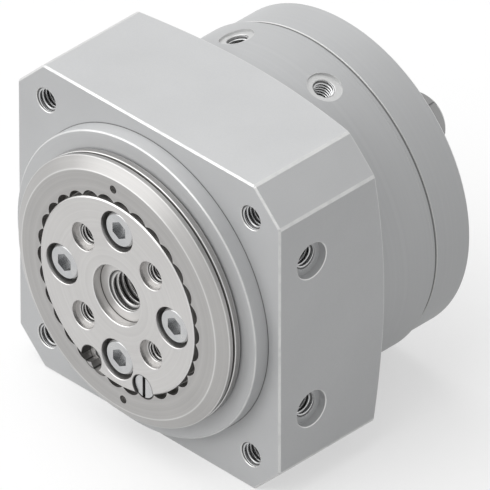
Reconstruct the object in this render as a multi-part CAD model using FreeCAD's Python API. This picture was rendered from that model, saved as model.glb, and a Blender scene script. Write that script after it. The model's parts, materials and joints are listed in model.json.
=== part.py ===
import FreeCAD, Part
import math
import os

# Semi-rotary vane actuator with a square bearing block and a round air-driven rear.
# Millimetres. The swing axis is Y, the output flange faces -Y and +Z is up.
# The origin is on the swing axis, in the front face of the square block.

# Square front block
BLOCK_SIDE = 82.0
CORNER_BEVEL = 8.0
BLOCK_DEPTH = 32.7
REAR_CONE_DEGREES = 15.0
BLOCK_EDGE = 0.4
BOSS_RADIUS = 37.5
BOSS_EDGE = 0.35
FRONT_THREAD_PITCH = 64.0
SIDE_THREAD_PITCH = 40.0
SIDE_THREAD_Y = 10.0
FRONT_THREAD_DEPTH = 12.0
SIDE_THREAD_DEPTH = 10.5
SIDE_RECESS_RADIUS = 4.5
SIDE_RECESS_DEPTH = 2.0
SCREW_THREAD_DEPTH = 12.0

# Stations along the swing axis, front to rear
FLANGE_FACE = -9.9
NUT_FACE = -9.4
NUT_BEVEL_END = -7.65
NUT_GROOVE_START = -6.55
NUT_REAR = -5.9
LABYRINTH_REAR = -4.5
BOSS_FACE = -4.0
FRONT_BEARING_Y = 0.0
HUB_WEB_REAR = 14.5
REAR_BEARING_Y = 16.0
BEARING_STACK_REAR = 22.0
SHAFT_FLANGE_REAR = 25.5
HUB_REAR = 26.0
RETAINER_REAR = 27.0
SPIGOT_FRONT = 30.2
CHAMBER_FRONT = 36.6
PORT_Y = 41.35
HOUSING_STEP = 49.1
CHAMBER_REAR = 49.3
PARTING_Y = 50.8
SHAFT_BEARING_Y = 53.0
COVER_REAR = 61.7
SHAFT_END = 87.9

# Radii of the main turned forms
HUB_RADIUS = 24.1
HUB_SHOULDER_RADIUS = 26.6
HUB_RECESS_RADIUS = 22.0
NUT_RADIUS = 33.2
NUT_BEVEL_RADIUS = 30.4
NUT_GROOVE_RADIUS = 32.5
LABYRINTH_SLEEVE_RADIUS = 26.6
LIP_RADIUS = 28.7
BEARING_BORE_RADIUS = 31.0
RETAINER_BORE_RADIUS = 31.6
VANE_HOUSING_RADIUS = 40.3
NECK_RADIUS = 39.4
COVER_RADIUS = 39.5
COVER_EDGE = 0.65
CHAMBER_RADIUS = 30.5
SHAFT_RADIUS = 9.5
SHAFT_SEAT_RADIUS = 7.5
SHAFT_END_RADIUS = 6.5

# Scalloped nut lock: a screw head fills a hole shared by the flange rim and one scallop
SCALLOP_COUNT = 30
SCALLOP_PHASE = 3.0
SCALLOP_RADIUS = 3.07
SCALLOP_CIRCLE = 22.35
SCALLOP_DEPTH = 2.15
LOCK_HOLE_ANGLES = (-69.0, -111.0)
SPANNER_HOLE_ANGLES = (93.0, 273.0)
SPANNER_HOLE_CIRCLE = 27.75
SPANNER_HOLE_RADIUS = 1.0
SPANNER_HOLE_DEPTH = 1.6
LOCK_THREAD_DEPTH = 6.0
LOCK_SCREW_LENGTH = 5.0
LOCK_HEAD_RADIUS = 2.95
LOCK_SLOT_WIDTH = 0.9
LOCK_SLOT_DEPTH = 1.0

# Flange pattern
FLANGE_SCREW_CIRCLE = 17.25
FLANGE_THREAD_CIRCLE = 15.0
SCREW_HEAD_TOP = -9.1
COUNTERBORE_RADIUS = 5.0
CENTRING_RADIUS = 7.5
CENTRING_DEPTH = 2.45
CENTRE_THREAD_DEPTH = 13.0
FLANGE_THREAD_DEPTH = 12.0
FLANGE_RECESS_RADIUS = 3.5
FLANGE_RECESS_DEPTH = 1.6
FLANGE_SCREW_LENGTH = 25.0
M5_HEAD_RADIUS = 4.25
M5_HEAD_HEIGHT = 5.0
M5_HEX = 4.0
DRIVE_DOWEL_ANGLES = (45.0, 225.0)
DRIVE_DOWEL_CIRCLE = 17.0
DRIVE_DOWEL_RADIUS = 2.0
DRIVE_DOWEL_REACH = 4.5

# Nominal thread radii
M3_RADIUS = 1.5
M4_RADIUS = 2.0
M5_RADIUS = 2.5
M6_RADIUS = 3.0
M10_RADIUS = 5.0
DRILL_POINT_DEGREES = 118.0

# Housing fixings and ports
HOUSING_SCREW_CIRCLE = 34.8
HOUSING_SCREW_SEAT = 57.3
HOUSING_SCREW_LENGTH = 35.0
HOUSING_COUNTERBORE_RADIUS = 3.8
M4_HEAD_RADIUS = 3.5
M4_HEAD_HEIGHT = 4.0
M4_HEX = 3.0
SCREW_PLAY = 0.2
HEAD_EDGE_SHARE = 0.07
TIP_BEVEL_SHARE = 0.25
SOCKET_DEPTH_SHARE = 0.55
LOCATING_DOWEL_ANGLES = (0.0, 180.0)
LOCATING_DOWEL_RADIUS = 1.5
LOCATING_DOWEL_FRONT = 29.0
LOCATING_DOWEL_REAR = 36.4
PORT_ANGLES = (70.0, 110.0)
PORT_SPOT_RADIUS = 4.1
PORT_SPOT_DEPTH = 0.65
PORT_DUCT_RADIUS = 1.5
PORT_THREAD_DEPTH = 6.0

# Vane and stator
VANE_ANGLE = -90.0
VANE_HALF_DEGREES = 22.0
VANE_SLEEVE_RADIUS = 14.0
VANE_TIP_RADIUS = 30.2
VANE_FRONT = 36.75
VANE_REAR = 49.1
SEAL_HALF_DEGREES = 2.5
SEAL_DEPTH = 1.5
SEAL_STAND = 0.2
KEY_WIDTH = 4.0
KEY_INNER_RADIUS = 7.5
KEY_OUTER_RADIUS = 11.7
KEY_FRONT = 37.5
KEY_REAR = 48.2
SHOE_ANGLE = 90.0
SHOE_HALF_DEGREES = 14.0
SHOE_INNER_RADIUS = 14.2
SHOE_SEAL_HALF_DEGREES = 4.0
SHOE_SEAL_INNER_RADIUS = 14.06
SHOE_SEAL_OUTER_RADIUS = 16.3
SHOE_PIN_CIRCLE = 22.5
SHOE_PIN_OFFSET = 7.0
SHOE_PIN_RADIUS = 1.5
SHOE_PIN_FRONT = 33.4
SHOE_PIN_REAR = 40.9
PAD_DEGREES = 8.3
PAD_INNER_RADIUS = 15.5
PAD_OUTER_RADIUS = 29.5
PAD_FRONT = 43.5
PAD_REAR = 48.9

# Shaft groove, seen on the rear shaft end
SHAFT_GROOVE_ANGLE = 60.5
SHAFT_GROOVE_WIDTH = 1.0
SHAFT_GROOVE_DEPTH = 0.65
SHAFT_GROOVE_START = 66.4
SHAFT_END_BEVEL = 0.85

# Seals and bushes: stations and radii
WIPER_FRONT = -3.1
WIPER_REAR = -1.1
WIPER_GROOVE_RADIUS = 29.1
WIPER_BACK_RADIUS = 27.5
WIPER_LIP_FRONT = -3.75
WIPER_LIP_REAR = -3.3
BUSH_RADIUS = 11.6
BUSH_FRONT = 30.4
BUSH_REAR = 34.2
FRONT_SEAL_RADIUS = 12.6
FRONT_SEAL_FRONT = 34.9
FRONT_SEAL_REAR = 36.5
FRONT_SEAL_LIP = 35.8
REAR_SEAL_RADIUS = 10.2
REAR_SEAL_FRONT = 50.6
REAR_SEAL_REAR = 52.1
O_RING_CIRCLE = 31.5
O_RING_SECTION = 0.5
O_RING_GROOVE_WIDTH = 1.1

# Bearing spacers and the threaded retainer behind them
INNER_SPACER_RADIUS = 26.7
OUTER_SPACER_RADIUS = 29.3
RETAINER_INNER_RADIUS = 28.4
RETAINER_SLOT_WIDTH = 5.0
RETAINER_SLOT_DEPTH = 2.0

# Spring rings that hold the shaft bearing
CLIP_FRONT = 60.0
CLIP_REAR = 61.1
CLIP_GROOVE_RADIUS = 14.6
CLIP_INNER_RADIUS = 12.9
CLIP_LUG_CIRCLE = 12.4
CLIP_LUG_RADIUS = 1.6
CLIP_GAP_DEGREES = 16.0
CLIP_GAP_SHARE = 0.7
CLIP_EYE_SHARE = 0.45
SHAFT_CLIP_GROOVE_RADIUS = 7.05
SHAFT_CLIP_RADIUS = 8.7
SHAFT_CLIP_LUG_RADIUS = 1.2
SHAFT_CLIP_GAP_DEGREES = 22.0

# Fits: radial play of a seat and of a running fit, and the usual edge bevel
SEAT_PLAY = 0.01
RUNNING_PLAY = 0.06
EDGE = 0.3
FINE_EDGE = 0.15

ORIGIN = FreeCAD.Vector(0, 0, 0)
SWING_AXIS = FreeCAD.Vector(0, 1, 0)
QUARTERS = (0.0, 90.0, 180.0, 270.0)
DIAGONALS = (45.0, 135.0, 225.0, 315.0)
BLOCK_HALF = BLOCK_SIDE / 2
REAR_CONE_SLOPE = math.tan(math.radians(REAR_CONE_DEGREES))
BLOCK_SEAT = BLOCK_DEPTH + (BLOCK_HALF - VANE_HOUSING_RADIUS) * REAR_CONE_SLOPE
SCALLOP_FLOOR = NUT_FACE + SCALLOP_DEPTH
FLANGE_SCREW_SEAT = SCREW_HEAD_TOP + M5_HEAD_HEIGHT

# Main bearings, 50 x 62 x 6, and the small rear one, 15 x 28 x 7
MAIN_BEARING = {
    "bore": 25.0, "inner_top": 27.1, "outer_bottom": 28.9, "outside": 31.0, "width": 6.0,
    "ball": 1.6, "balls": 24, "cage": (27.45, 28.55), "cage_width": 4.2,
}
REAR_BEARING = {
    "bore": 7.5, "inner_top": 9.6, "outer_bottom": 11.9, "outside": 14.0, "width": 7.0,
    "ball": 2.0, "balls": 9, "cage": (10.1, 11.4), "cage_width": 5.0,
}
RACE_PLAY = 0.08
POCKET_PLAY = 0.1


def polar(radius, degrees, y=0.0):
    """Point at an angle counted from +X towards +Z."""
    angle = math.radians(degrees)
    return FreeCAD.Vector(radius * math.cos(angle), y, radius * math.sin(angle))


def turned(profile):
    """Solid of revolution about the swing axis from (radius, y) corners."""
    corners = [FreeCAD.Vector(radius, y, 0) for radius, y in profile]
    outline = Part.makePolygon(corners + corners[:1])
    return Part.Face(outline).revolve(ORIGIN, SWING_AXIS, 360)


def ring(inner, outer, start, end):
    return turned([(inner, start), (outer, start), (outer, end), (inner, end)])


def bevelled_ring(inner, outer, start, end, bevel):
    """Ring whose two outer edges are bevelled."""
    return turned([
        (inner, start), (outer - bevel, start), (outer, start + bevel),
        (outer, end - bevel), (outer - bevel, end), (inner, end),
    ])


def bar(radius, start, end, place=ORIGIN):
    """Round bar parallel to the swing axis, through a point's X and Z."""
    return Part.makeCylinder(radius, end - start, FreeCAD.Vector(place.x, start, place.z), SWING_AXIS)


def bevelled_bar(radius, start, end, bevel, place=ORIGIN):
    pin = turned([
        (0, start), (radius - bevel, start), (radius, start + bevel),
        (radius, end - bevel), (radius - bevel, end), (0, end),
    ])
    pin.translate(FreeCAD.Vector(place.x, 0, place.z))
    return pin


def sector(inner, outer, start, end, middle, half):
    """Ring segment that reaches half degrees each side of its middle angle."""
    first = middle - half
    last = middle + half
    outer_arc = Part.Arc(polar(outer, first, start), polar(outer, middle, start), polar(outer, last, start))
    inner_arc = Part.Arc(polar(inner, last, start), polar(inner, middle, start), polar(inner, first, start))
    outline = Part.Wire([
        outer_arc.toShape(),
        Part.makeLine(polar(outer, last, start), polar(inner, last, start)),
        inner_arc.toShape(),
        Part.makeLine(polar(inner, first, start), polar(outer, first, start)),
    ])
    return Part.Face(outline).extrude(FreeCAD.Vector(0, end - start, 0))


def turned_to(shape, degrees):
    """Copy swung about the axis from +X towards +Z."""
    copy = shape.copy()
    copy.rotate(ORIGIN, SWING_AXIS, -degrees)
    return copy


def moved_to(shape, place):
    copy = shape.copy()
    copy.translate(place)
    return copy


def aimed(shape, place, direction):
    """Copy of a shape made along +Y, set at a place and pointing in a direction."""
    copy = shape.copy()
    copy.Placement = FreeCAD.Placement(place, FreeCAD.Rotation(SWING_AXIS, direction))
    return copy


def tapped_hole(radius, depth, recess_radius=0.0, recess_depth=0.0):
    """Cutter along +Y from the origin: sleeve recess, bevelled mouth, bore and drill point."""
    tip = radius / math.tan(math.radians(DRILL_POINT_DEGREES / 2))
    outline = [(0, 0)]
    if recess_depth:
        outline += [(recess_radius + FINE_EDGE, 0), (recess_radius, FINE_EDGE), (recess_radius, recess_depth)]
    outline += [
        (radius + FINE_EDGE, recess_depth), (radius, recess_depth + FINE_EDGE),
        (radius, depth), (0, depth + tip),
    ]
    return turned(outline)


def counterbore(radius, start, end, place):
    """Flat-bottomed cutter for a screw head, bevelled at the mouth, which is at start."""
    bevel = math.copysign(FINE_EDGE, end - start)
    cutter = turned([
        (0, start), (radius + FINE_EDGE, start), (radius, start + bevel), (radius, end), (0, end),
    ])
    return moved_to(cutter, place)


def hexagon_prism(across_flats, start, end):
    """Hexagon with a corner towards +Z."""
    corner = across_flats / math.sqrt(3)
    corners = [polar(corner, 30 + 60 * step, start) for step in range(6)]
    outline = Part.makePolygon(corners + corners[:1])
    return Part.Face(outline).extrude(FreeCAD.Vector(0, end - start, 0))


def socket_screw(radius, length, head_radius, head_height, across_flats):
    """Socket-head screw along +Y with its seat at the origin."""
    edge = HEAD_EDGE_SHARE * head_height
    tip = TIP_BEVEL_SHARE * radius
    socket_floor = (SOCKET_DEPTH_SHARE - 1) * head_height
    body = turned([
        (0, -head_height), (head_radius - edge, -head_height), (head_radius, edge - head_height),
        (head_radius, 0), (radius, 0), (radius, length - tip), (radius - tip, length), (0, length),
    ])
    return body.cut(hexagon_prism(across_flats, -head_height, socket_floor))


def bearing_rings(bearing, start):
    """Grooved inner and outer rings of a ball bearing."""
    pitch = (bearing["bore"] + bearing["outside"]) / 2
    end = start + bearing["width"]
    middle = FreeCAD.Vector(0, (start + end) / 2, 0)
    groove = Part.makeTorus(pitch, bearing["ball"] + RACE_PLAY, middle, SWING_AXIS)
    inner = ring(bearing["bore"] + SEAT_PLAY, bearing["inner_top"], start, end)
    outer = ring(bearing["outer_bottom"], bearing["outside"] - SEAT_PLAY, start, end)
    return inner.cut(groove), outer.cut(groove)


def ball_places(bearing, start):
    pitch = (bearing["bore"] + bearing["outside"]) / 2
    middle = start + bearing["width"] / 2
    step = 360.0 / bearing["balls"]
    return [polar(pitch, (index + 0.5) * step, middle) for index in range(bearing["balls"])]


def bearing_balls(bearing, start):
    balls = [Part.makeSphere(bearing["ball"], place) for place in ball_places(bearing, start)]
    return Part.makeCompound(balls)


def bearing_cage(bearing, start):
    """Ring with a round pocket for every ball."""
    middle = start + bearing["width"] / 2
    half = bearing["cage_width"] / 2
    inner, outer = bearing["cage"]
    centre = FreeCAD.Vector(0, middle, 0)
    pocket = bearing["ball"] + POCKET_PLAY
    pockets = [
        Part.makeCylinder(pocket, bearing["outside"], centre, place - centre)
        for place in ball_places(bearing, start)
    ]
    return ring(inner, outer, middle - half, middle + half).cut(pockets)


def bearing_housing():
    """Square block, pilot boss and stepped bearing bore."""
    half = BLOCK_HALF
    inset = half - CORNER_BEVEL
    corners = [
        (half, -inset), (half, inset), (inset, half), (-inset, half),
        (-half, inset), (-half, -inset), (-inset, -half), (inset, -half),
    ]
    points = [FreeCAD.Vector(x, 0, z) for x, z in corners]
    outline = Part.makePolygon(points + points[:1])
    reach = BLOCK_SIDE
    cone_end = BLOCK_SEAT - (reach - VANE_HOUSING_RADIUS) * REAR_CONE_SLOPE
    coned_blank = turned([
        (0, 0), (reach, 0), (reach, cone_end), (VANE_HOUSING_RADIUS, BLOCK_SEAT), (0, BLOCK_SEAT),
    ])
    block = Part.Face(outline).extrude(FreeCAD.Vector(0, BLOCK_SIDE, 0)).common(coned_blank)
    block = block.makeChamfer(BLOCK_EDGE, [edge for edge in block.Edges if edge.BoundBox.YMin < EDGE])
    boss = turned([
        (0, BOSS_FACE), (BOSS_RADIUS - BOSS_EDGE, BOSS_FACE), (BOSS_RADIUS, BOSS_FACE + BOSS_EDGE),
        (BOSS_RADIUS, BLOCK_EDGE), (0, BLOCK_EDGE),
    ])
    bore = turned([
        (0, BOSS_FACE), (LIP_RADIUS, BOSS_FACE), (LIP_RADIUS, 0), (BEARING_BORE_RADIUS, 0),
        (BEARING_BORE_RADIUS, BEARING_STACK_REAR), (RETAINER_BORE_RADIUS, BEARING_STACK_REAR),
        (RETAINER_BORE_RADIUS, BLOCK_SEAT), (0, BLOCK_SEAT),
    ])
    cutters = [bore, wiper_groove()]
    front_thread = tapped_hole(M6_RADIUS, FRONT_THREAD_DEPTH)
    for angle in DIAGONALS:
        place = polar(FRONT_THREAD_PITCH / math.sqrt(2), angle)
        cutters.append(aimed(front_thread, place, SWING_AXIS))
    side_thread = tapped_hole(M6_RADIUS, SIDE_THREAD_DEPTH, SIDE_RECESS_RADIUS, SIDE_RECESS_DEPTH)
    for side in (-1, 1):
        for level in (-1, 1):
            place = FreeCAD.Vector(side * BLOCK_HALF, SIDE_THREAD_Y, level * SIDE_THREAD_PITCH / 2)
            cutters.append(aimed(side_thread, place, FreeCAD.Vector(-side, 0, 0)))
    screw_thread = tapped_hole(M4_RADIUS, SCREW_THREAD_DEPTH)
    for angle in DIAGONALS:
        cutters.append(aimed(screw_thread, polar(HOUSING_SCREW_CIRCLE, angle, BLOCK_SEAT), -SWING_AXIS))
    return block.fuse(boss).removeSplitter().cut(cutters + dowel_holes())


def wiper_groove():
    """Groove in the pilot boss that the wiper seal sits in."""
    return ring(LIP_RADIUS - EDGE, WIPER_GROOVE_RADIUS, WIPER_FRONT, WIPER_REAR)


def wiper_seal():
    """Seal with one lip that leans forward on to the labyrinth sleeve."""
    lip = LABYRINTH_SLEEVE_RADIUS + RUNNING_PLAY
    outer = WIPER_GROOVE_RADIUS - SEAT_PLAY
    return turned([
        (outer, WIPER_REAR), (WIPER_BACK_RADIUS, WIPER_REAR), (WIPER_BACK_RADIUS, WIPER_FRONT + 2 * EDGE),
        (lip, WIPER_LIP_REAR), (lip, WIPER_LIP_FRONT),
        (WIPER_BACK_RADIUS, WIPER_FRONT), (outer, WIPER_FRONT),
    ])


def dowel_holes():
    """Locating dowel holes shared by the block and the vane housing."""
    return [
        bar(
            LOCATING_DOWEL_RADIUS + SEAT_PLAY, LOCATING_DOWEL_FRONT, LOCATING_DOWEL_REAR,
            polar(HOUSING_SCREW_CIRCLE, angle),
        )
        for angle in LOCATING_DOWEL_ANGLES
    ]


def locating_dowels():
    pins = [
        bevelled_bar(
            LOCATING_DOWEL_RADIUS, LOCATING_DOWEL_FRONT, LOCATING_DOWEL_REAR - EDGE, EDGE,
            polar(HOUSING_SCREW_CIRCLE, angle),
        )
        for angle in LOCATING_DOWEL_ANGLES
    ]
    return Part.makeCompound(pins)


def outer_spacer():
    end = FRONT_BEARING_Y + MAIN_BEARING["width"]
    return ring(OUTER_SPACER_RADIUS, BEARING_BORE_RADIUS - SEAT_PLAY, end, REAR_BEARING_Y)


def inner_spacer():
    end = FRONT_BEARING_Y + MAIN_BEARING["width"]
    return ring(MAIN_BEARING["bore"] + SEAT_PLAY, INNER_SPACER_RADIUS, end, REAR_BEARING_Y)


def bearing_retainer():
    """Threaded ring behind the outer rings, with four spanner slots."""
    outer = RETAINER_BORE_RADIUS - SEAT_PLAY
    nut = bevelled_ring(RETAINER_INNER_RADIUS, outer, BEARING_STACK_REAR, RETAINER_REAR, EDGE)
    floor = RETAINER_REAR - RETAINER_SLOT_DEPTH
    corner = FreeCAD.Vector(HUB_SHOULDER_RADIUS, floor, -RETAINER_SLOT_WIDTH / 2)
    slot = Part.makeBox(outer - EDGE, RETAINER_SLOT_DEPTH, RETAINER_SLOT_WIDTH, corner)
    return nut.cut([turned_to(slot, angle) for angle in QUARTERS])


def lock_holes():
    """Half holes in the flange rim with a tapped hole in each floor."""
    holes = []
    for angle in LOCK_HOLE_ANGLES:
        place = polar(SCALLOP_CIRCLE, angle)
        holes.append(bar(SCALLOP_RADIUS, FLANGE_FACE, SCALLOP_FLOOR, place))
        holes.append(bar(M3_RADIUS, SCALLOP_FLOOR, SCALLOP_FLOOR + LOCK_THREAD_DEPTH, place))
    return holes


def lock_screw():
    """Slotted cheese-head screw, its slot upright."""
    shank = M3_RADIUS - SEAT_PLAY
    tip = SCALLOP_FLOOR + LOCK_SCREW_LENGTH
    body = turned([
        (0, NUT_FACE), (LOCK_HEAD_RADIUS - FINE_EDGE, NUT_FACE), (LOCK_HEAD_RADIUS, NUT_FACE + FINE_EDGE),
        (LOCK_HEAD_RADIUS, SCALLOP_FLOOR), (shank, SCALLOP_FLOOR), (shank, tip), (0, tip),
    ])
    slot = Part.makeBox(
        LOCK_SLOT_WIDTH, LOCK_SLOT_DEPTH, 4 * LOCK_HEAD_RADIUS,
        FreeCAD.Vector(-LOCK_SLOT_WIDTH / 2, NUT_FACE, -2 * LOCK_HEAD_RADIUS),
    )
    return moved_to(body.cut(slot), polar(SCALLOP_CIRCLE, LOCK_HOLE_ANGLES[0]))


def output_flange():
    """Rotating hub: face plate and nut thread in front, bearing seat, shoulder and rear recess."""
    seat = MAIN_BEARING["bore"]
    hub = turned([
        (0, FLANGE_FACE), (HUB_RADIUS - EDGE, FLANGE_FACE), (HUB_RADIUS, FLANGE_FACE + EDGE),
        (HUB_RADIUS, FRONT_BEARING_Y + EDGE), (seat - EDGE, FRONT_BEARING_Y + EDGE),
        (seat, FRONT_BEARING_Y + 2 * EDGE),
        (seat, BEARING_STACK_REAR), (HUB_SHOULDER_RADIUS, BEARING_STACK_REAR),
        (HUB_SHOULDER_RADIUS, HUB_REAR), (HUB_RECESS_RADIUS, HUB_REAR),
        (HUB_RECESS_RADIUS, HUB_WEB_REAR), (0, HUB_WEB_REAR),
    ])
    face = FreeCAD.Vector(0, FLANGE_FACE, 0)
    centre_hole = tapped_hole(M10_RADIUS, CENTRE_THREAD_DEPTH, CENTRING_RADIUS, CENTRING_DEPTH)
    cutters = [moved_to(centre_hole, face)]
    thread = tapped_hole(M5_RADIUS, FLANGE_THREAD_DEPTH, FLANGE_RECESS_RADIUS, FLANGE_RECESS_DEPTH)
    cutters += [moved_to(thread, polar(FLANGE_THREAD_CIRCLE, angle, FLANGE_FACE)) for angle in DIAGONALS]
    for angle in QUARTERS:
        place = polar(FLANGE_SCREW_CIRCLE, angle)
        cutters.append(counterbore(COUNTERBORE_RADIUS, FLANGE_FACE, FLANGE_SCREW_SEAT, place))
        cutters.append(bar(M5_RADIUS + SCREW_PLAY, FLANGE_SCREW_SEAT, HUB_WEB_REAR, place))
    return hub.cut(cutters + lock_holes() + drive_dowel_holes())


def drive_dowel_holes():
    """Dowel holes shared by the output flange and the vane shaft's flange."""
    return [
        bar(
            DRIVE_DOWEL_RADIUS + SEAT_PLAY, HUB_WEB_REAR - DRIVE_DOWEL_REACH,
            HUB_WEB_REAR + DRIVE_DOWEL_REACH, polar(DRIVE_DOWEL_CIRCLE, angle),
        )
        for angle in DRIVE_DOWEL_ANGLES
    ]


def drive_dowels():
    pins = [
        bevelled_bar(
            DRIVE_DOWEL_RADIUS, HUB_WEB_REAR - DRIVE_DOWEL_REACH,
            HUB_WEB_REAR + DRIVE_DOWEL_REACH, EDGE, polar(DRIVE_DOWEL_CIRCLE, angle),
        )
        for angle in DRIVE_DOWEL_ANGLES
    ]
    return Part.makeCompound(pins)


def flange_screws():
    shank = M5_RADIUS - SEAT_PLAY
    screw = socket_screw(shank, FLANGE_SCREW_LENGTH, M5_HEAD_RADIUS, M5_HEAD_HEIGHT, M5_HEX)
    places = [polar(FLANGE_SCREW_CIRCLE, angle, FLANGE_SCREW_SEAT) for angle in QUARTERS]
    return Part.makeCompound([moved_to(screw, place) for place in places])


def ring_nut():
    """Bevelled nut with a groove behind its rim and scallops along its inner edge."""
    nut = turned([
        (HUB_RADIUS + SEAT_PLAY, NUT_FACE), (NUT_BEVEL_RADIUS, NUT_FACE), (NUT_RADIUS, NUT_BEVEL_END),
        (NUT_RADIUS, NUT_GROOVE_START - FINE_EDGE), (NUT_RADIUS - FINE_EDGE, NUT_GROOVE_START),
        (NUT_GROOVE_RADIUS, NUT_GROOVE_START),
        (NUT_GROOVE_RADIUS, NUT_REAR), (HUB_RADIUS + SEAT_PLAY, NUT_REAR),
    ])
    pitch = 360.0 / SCALLOP_COUNT
    scallops = [
        bar(SCALLOP_RADIUS, NUT_FACE, SCALLOP_FLOOR, polar(SCALLOP_CIRCLE, SCALLOP_PHASE + pitch * index))
        for index in range(SCALLOP_COUNT)
    ]
    spanner_holes = [
        bar(
            SPANNER_HOLE_RADIUS, NUT_FACE, NUT_FACE + SPANNER_HOLE_DEPTH,
            polar(SPANNER_HOLE_CIRCLE, angle),
        )
        for angle in SPANNER_HOLE_ANGLES
    ]
    return nut.cut(scallops + spanner_holes)


def labyrinth_ring():
    """Flanged ring that the nut clamps against the front bearing's inner ring."""
    bore = HUB_RADIUS + SEAT_PLAY
    return turned([
        (bore, NUT_REAR), (NUT_RADIUS - FINE_EDGE, NUT_REAR), (NUT_RADIUS, NUT_REAR + FINE_EDGE),
        (NUT_RADIUS, LABYRINTH_REAR), (LABYRINTH_SLEEVE_RADIUS, LABYRINTH_REAR),
        (LABYRINTH_SLEEVE_RADIUS, -2 * EDGE), (LABYRINTH_SLEEVE_RADIUS - 2 * EDGE, 0), (bore, 0),
    ])


def vane_shaft():
    """Flanged shaft that carries the vane and comes out of the rear cover."""
    flange_radius = HUB_RECESS_RADIUS - SEAT_PLAY
    shaft = turned([
        (0, HUB_WEB_REAR), (flange_radius - EDGE, HUB_WEB_REAR), (flange_radius, HUB_WEB_REAR + EDGE),
        (flange_radius, SHAFT_FLANGE_REAR), (SHAFT_RADIUS, SHAFT_FLANGE_REAR), (SHAFT_RADIUS, VANE_REAR),
        (SHAFT_SEAT_RADIUS, VANE_REAR), (SHAFT_SEAT_RADIUS, COVER_REAR), (SHAFT_END_RADIUS, COVER_REAR),
        (SHAFT_END_RADIUS, SHAFT_END - SHAFT_END_BEVEL),
        (SHAFT_END_RADIUS - SHAFT_END_BEVEL, SHAFT_END), (0, SHAFT_END),
    ])
    cutters = [
        bar(M5_RADIUS, HUB_WEB_REAR, SHAFT_FLANGE_REAR, polar(FLANGE_SCREW_CIRCLE, angle))
        for angle in QUARTERS
    ]
    groove = Part.makeBox(
        2 * SHAFT_GROOVE_DEPTH, SHAFT_END - SHAFT_GROOVE_START, SHAFT_GROOVE_WIDTH,
        FreeCAD.Vector(SHAFT_END_RADIUS - SHAFT_GROOVE_DEPTH, SHAFT_GROOVE_START, -SHAFT_GROOVE_WIDTH / 2),
    )
    cutters.append(turned_to(groove, SHAFT_GROOVE_ANGLE))
    cutters.append(key_block(KEY_INNER_RADIUS, KEY_OUTER_RADIUS, KEY_FRONT, KEY_REAR))
    cutters.append(ring(SHAFT_CLIP_GROOVE_RADIUS, SHAFT_RADIUS, CLIP_FRONT, CLIP_REAR))
    return shaft.cut(cutters + drive_dowel_holes())


def key_block(inner, outer, start, end):
    """Upright block under the shaft, from one radius to another."""
    corner = FreeCAD.Vector(-KEY_WIDTH / 2, start, -outer)
    return Part.makeBox(KEY_WIDTH, end - start, outer - inner, corner)


def vane_key():
    return key_block(KEY_INNER_RADIUS, KEY_OUTER_RADIUS, KEY_FRONT, KEY_REAR)


def vane_seal():
    """U-shaped strip round the front, tip and rear of the blade."""
    strip = sector(
        VANE_SLEEVE_RADIUS + EDGE, VANE_TIP_RADIUS + SEAL_STAND, VANE_FRONT - SEAL_STAND / 2,
        VANE_REAR + SEAL_STAND / 2, VANE_ANGLE, SEAL_HALF_DEGREES,
    )
    middle = sector(
        VANE_SLEEVE_RADIUS, VANE_TIP_RADIUS - SEAL_DEPTH, VANE_FRONT + SEAL_DEPTH,
        VANE_REAR - SEAL_DEPTH, VANE_ANGLE, 2 * SEAL_HALF_DEGREES,
    )
    return strip.cut(middle)


def vane():
    """Keyed sleeve with one wide blade."""
    sleeve = ring(SHAFT_RADIUS + SEAT_PLAY, VANE_SLEEVE_RADIUS, VANE_FRONT, VANE_REAR)
    blade = sector(
        KEY_OUTER_RADIUS, VANE_TIP_RADIUS, VANE_FRONT, VANE_REAR, VANE_ANGLE, VANE_HALF_DEGREES,
    )
    keyway = key_block(KEY_INNER_RADIUS, KEY_OUTER_RADIUS, VANE_FRONT, VANE_REAR)
    return sleeve.fuse(blade).removeSplitter().cut([keyway, vane_seal()])


def shoe_pin_places():
    return [polar(SHOE_PIN_CIRCLE, SHOE_ANGLE + side * SHOE_PIN_OFFSET) for side in (-1, 1)]


def shoe_pins():
    pins = [
        bevelled_bar(SHOE_PIN_RADIUS - SEAT_PLAY, SHOE_PIN_FRONT, SHOE_PIN_REAR, EDGE, place)
        for place in shoe_pin_places()
    ]
    return Part.makeCompound(pins)


def shoe_seal():
    """Strip in the shoe's inner face that rubs on the vane sleeve."""
    return sector(
        SHOE_SEAL_INNER_RADIUS, SHOE_SEAL_OUTER_RADIUS, CHAMBER_FRONT, CHAMBER_REAR,
        SHOE_ANGLE, SHOE_SEAL_HALF_DEGREES,
    )


def stator_shoe():
    """Fixed wall across the chamber between the two ports."""
    shoe = sector(
        SHOE_INNER_RADIUS, CHAMBER_RADIUS - SEAT_PLAY, CHAMBER_FRONT, CHAMBER_REAR,
        SHOE_ANGLE, SHOE_HALF_DEGREES,
    )
    pin_holes = [bar(SHOE_PIN_RADIUS, CHAMBER_FRONT, SHOE_PIN_REAR, place) for place in shoe_pin_places()]
    return shoe.cut(pin_holes + [shoe_seal()])


def cushion_pads():
    """Rubber pads on both sides of the shoe, short enough to leave the ports free."""
    half = PAD_DEGREES / 2
    pads = [
        sector(
            PAD_INNER_RADIUS, PAD_OUTER_RADIUS, PAD_FRONT, PAD_REAR,
            SHOE_ANGLE + side * (SHOE_HALF_DEGREES + half), half,
        )
        for side in (-1, 1)
    ]
    return Part.makeCompound(pads)


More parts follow.
